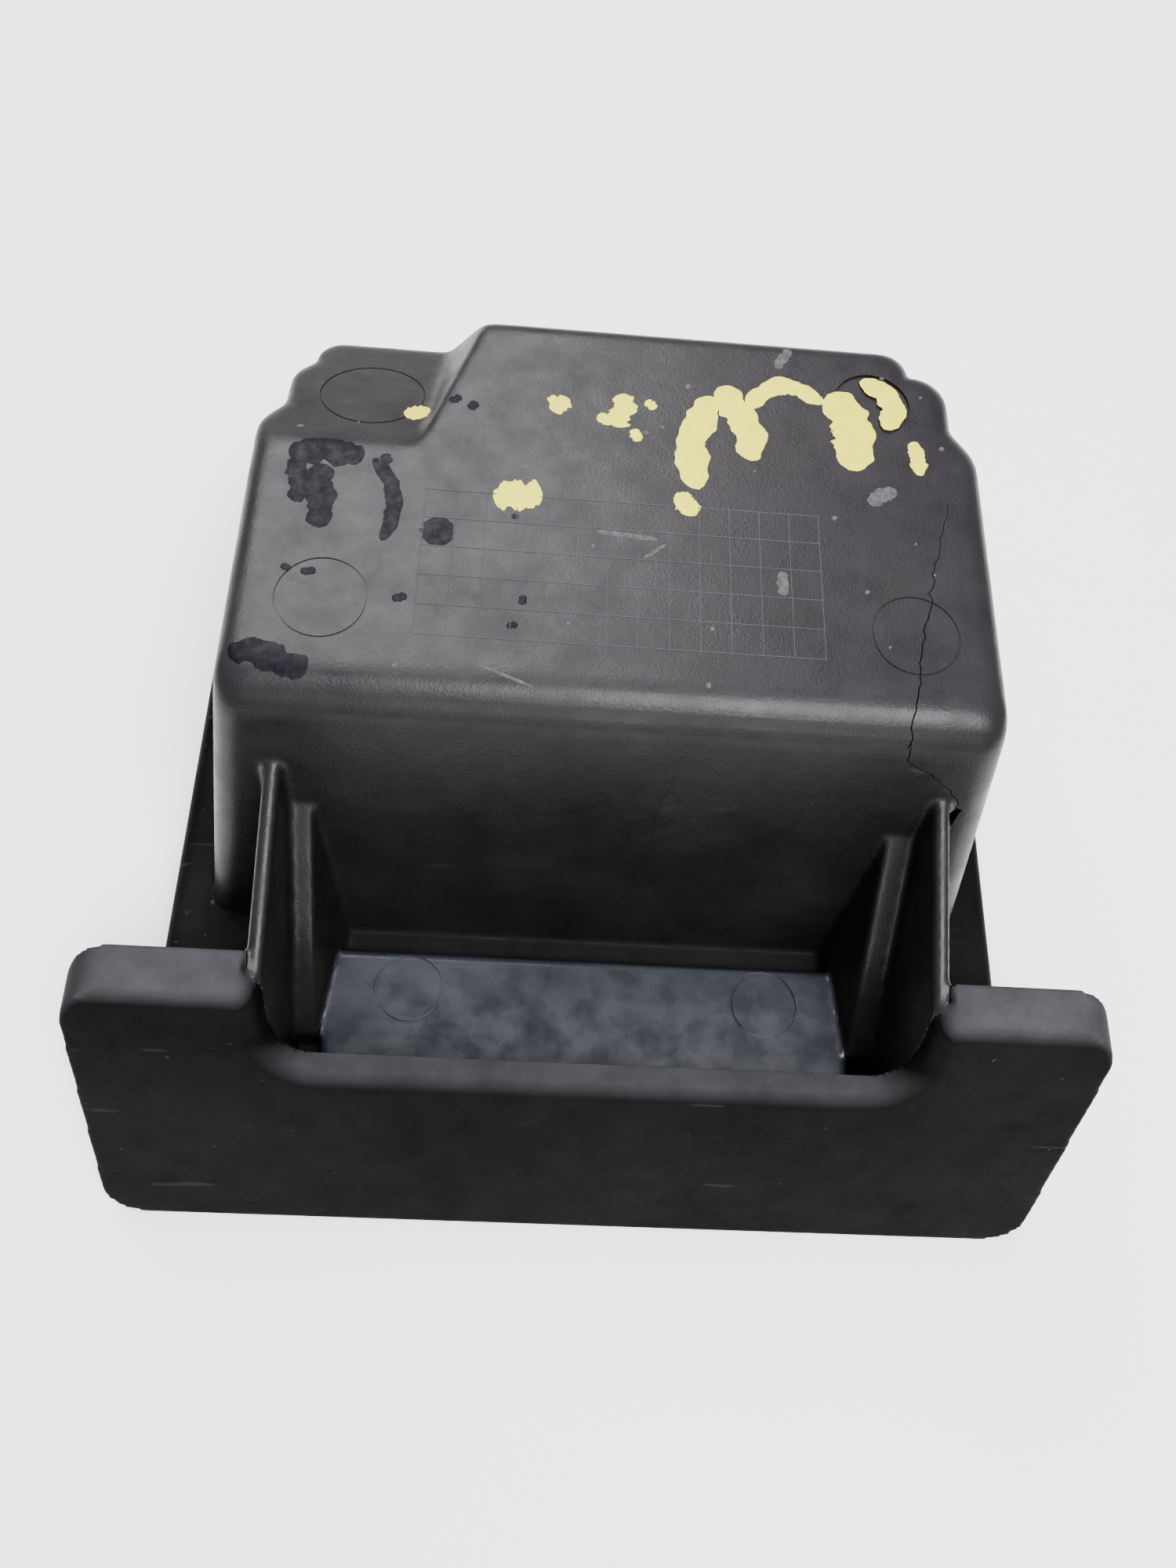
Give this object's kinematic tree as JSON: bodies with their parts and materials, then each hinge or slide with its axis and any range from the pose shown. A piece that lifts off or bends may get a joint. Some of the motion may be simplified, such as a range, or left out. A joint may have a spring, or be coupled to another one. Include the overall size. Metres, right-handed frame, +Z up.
{
  "type": "storage tub",
  "caption": "One-piece moulded plastic storage tub with a sloping notched front fascia, gussets and a rim flange, lying upside down.",
  "frame": {"origin": "centre of the bounding box, on the table under the tub", "axes": "+X to the right seen from the fascia, +Y from the fascia towards the far wall, +Z up, out of the closed floor that lies uppermost"},
  "size_m": [0.1912, 0.1788, 0.0817],
  "materials": {
    "moulding": "fine spark-eroded grain, worn",
    "gloss_moulding": "polished mould surface"
  },
  "bodies": {
    "root": {"tub_floor": "moulding", "tub_front_wall": "moulding", "tub_left_wall": "moulding", "tub_right_wall": "moulding", "tub_far_left_corner": "moulding", "tub_far_right_corner": "moulding", "tub_far_wall": "moulding", "rim_left": "moulding", "rim_right": "moulding", "rim_far": "moulding", "front_shelf": "gloss_moulding", "ledge_pad": "gloss_moulding", "tall_gusset_left": "moulding", "tall_gusset_right": "moulding", "low_gusset_left": "moulding", "low_gusset_right": "moulding", "fascia_middle": "moulding", "fascia_left": "moulding", "fascia_right": "moulding", "ear_return_left": "moulding", "ear_return_right": "moulding"}
  },
  "joints": []
}
